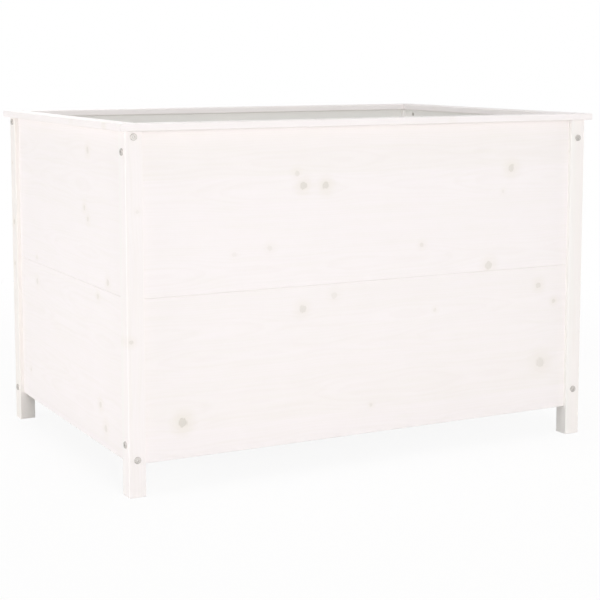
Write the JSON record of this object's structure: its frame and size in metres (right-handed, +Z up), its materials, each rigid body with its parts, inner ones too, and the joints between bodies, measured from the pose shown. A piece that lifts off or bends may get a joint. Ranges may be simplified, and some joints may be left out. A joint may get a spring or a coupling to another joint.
{
  "type": "raised garden bed",
  "caption": "Rectangular raised garden bed in white painted pine, with corner posts, stacked panel walls, a mitred flat rim and a slatted floor held clear of the ground.",
  "frame": {"origin": "on the ground, under the middle of the bed", "axes": "+X along the long walls, +Y along the short walls from front to back, +Z up"},
  "size_m": [1.195, 0.825, 0.78],
  "materials": {
    "white_pine": "satin white paint, thin enough to show knots and grain",
    "beech_dowel": "plain turned beech",
    "zinc_steel": "bright zinc plating, slightly dull"
  },
  "bodies": {
    "root": {"barrel_nuts": "zinc_steel", "batten_back": "white_pine", "batten_front": "white_pine", "batten_left": "white_pine", "batten_right": "white_pine", "batten_screws": "zinc_steel", "bearer_screws": "zinc_steel", "end_dowels": "beech_dowel", "floor_bearer_1": "white_pine", "floor_bearer_2": "white_pine", "floor_bearer_3": "white_pine", "floor_slat_1": "white_pine", "floor_slat_2": "white_pine", "floor_slat_3": "white_pine", "floor_slat_4": "white_pine", "floor_slat_5": "white_pine", "floor_slat_6": "white_pine", "floor_slat_7": "white_pine", "ledger_back": "white_pine", "ledger_front": "white_pine", "ledger_left": "white_pine", "ledger_right": "white_pine", "ledger_screws": "zinc_steel", "post_back_left": "white_pine", "post_back_right": "white_pine", "post_front_left": "white_pine", "post_front_right": "white_pine", "rim_back": "white_pine", "rim_front": "white_pine", "rim_left": "white_pine", "rim_right": "white_pine", "rim_screws": "zinc_steel", "seam_dowels": "beech_dowel", "slat_screws": "zinc_steel", "wall_back_lower": "white_pine", "wall_back_upper": "white_pine", "wall_bolts": "zinc_steel", "wall_front_lower": "white_pine", "wall_front_upper": "white_pine", "wall_left_lower": "white_pine", "wall_left_upper": "white_pine", "wall_right_lower": "white_pine", "wall_right_upper": "white_pine"}
  },
  "joints": []
}
